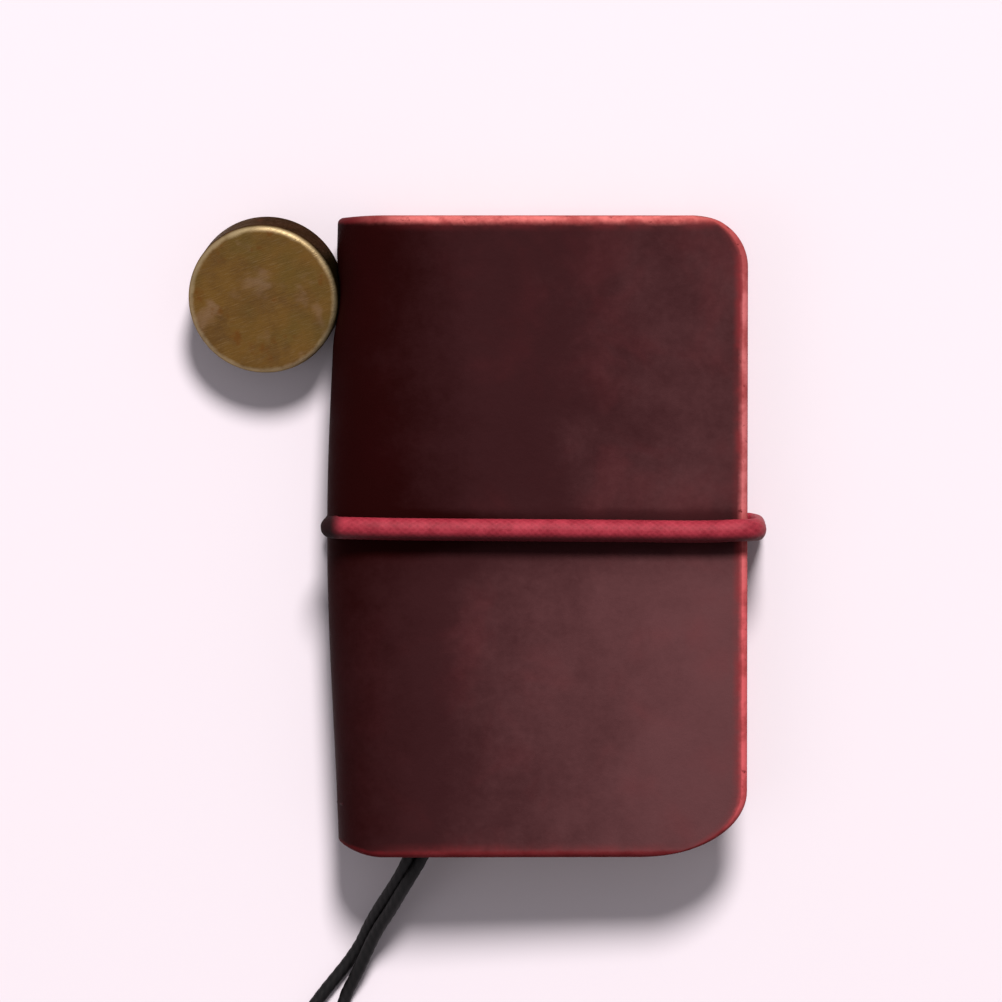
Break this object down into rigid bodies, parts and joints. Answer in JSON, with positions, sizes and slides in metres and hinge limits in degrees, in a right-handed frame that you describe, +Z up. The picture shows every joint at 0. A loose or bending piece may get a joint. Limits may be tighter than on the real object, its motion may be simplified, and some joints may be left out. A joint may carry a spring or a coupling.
{
  "type": "pocket notebook",
  "caption": "Small leather pocket notebook with stitched booklets, a round elastic closure and a cord page marker with a brass disc.",
  "frame": {"origin": "on the table, under the middle of the notebook and its disc, without the marker's two free ends", "axes": "+X from the spine to the fore edge, +Y from the tail to the head, +Z up, out of the front cover"},
  "size_m": [0.0826, 0.129, 0.0176],
  "materials": {
    "leather": "waxed pull-up leather, raw edges",
    "card": "kraft card",
    "paper": "uncoated cream paper",
    "thread": "waxed linen thread",
    "elastic": "braided round elastic",
    "cord": "waxed black cord",
    "brass": "aged brass, brushed face"
  },
  "bodies": {
    "back": {"back_cover": "leather", "spine": "leather", "booklet1_card_back": "card", "booklet1_leaves_back": "paper", "booklet1_thread": "thread", "booklet2_card": "card", "booklet2_leaves": "paper", "booklet2_thread": "thread", "booklet3_card": "card", "booklet3_leaves": "paper", "booklet3_thread": "thread", "closure_elastic_back": "elastic", "closure_knot": "elastic", "binding_elastic": "elastic", "binding_knot_tail": "elastic", "binding_knot_head": "elastic", "marker_strand_left": "cord", "marker_strand_right": "cord", "marker_tail_left": "cord", "marker_tail_right": "cord", "marker_knot_left": "cord", "marker_knot_right": "cord"},
    "front": {"front_cover": "leather"},
    "closure": {"closure_elastic_front": "elastic"},
    "card": {"booklet1_card_front": "card"},
    "leaves_front": {"booklet1_leaves_front": "paper"},
    "leaves_middle": {"booklet1_leaves_middle": "paper"},
    "disc": {"brass_disc": "brass", "marker_bight": "cord"}
  },
  "joints": [
    {"name": "cover_open", "type": "hinge", "parent": "back", "child": "front", "pos_m": [-0.01562, 0, 0.01482], "axis": [0, -1, 0], "range_deg": [0, 180]},
    {"name": "closure_release", "type": "hinge", "parent": "back", "child": "closure", "pos_m": [0, 0.003, 0.0072], "axis": [-1, 0, 0], "range_deg": [0, 180], "deforming": ["closure_elastic_front"]},
    {"name": "card_turn", "type": "hinge", "parent": "back", "child": "card", "pos_m": [-0.01308, 0, 0.0115], "axis": [0, -1, 0], "range_deg": [0, 90]},
    {"name": "leaves_front_turn", "type": "hinge", "parent": "back", "child": "leaves_front", "pos_m": [-0.01308, 0, 0.0115], "axis": [0, -1, 0], "range_deg": [0, 72]},
    {"name": "leaves_middle_turn", "type": "hinge", "parent": "back", "child": "leaves_middle", "pos_m": [-0.01308, 0, 0.0115], "axis": [0, -1, 0], "range_deg": [0, 54]},
    {"name": "disc_swing", "type": "hinge", "parent": "back", "child": "disc", "pos_m": [-0.02025, 0.0335, 0.0064], "axis": [0, 0, 1], "range_deg": [-8, 8]}
  ],
  "couplings": [
    {"joint": "closure_release", "follows": "cover_open", "ratio": 1},
    {"joint": "card_turn", "follows": "cover_open", "ratio": 0.5},
    {"joint": "leaves_front_turn", "follows": "cover_open", "ratio": 0.4},
    {"joint": "leaves_middle_turn", "follows": "cover_open", "ratio": 0.3}
  ]
}
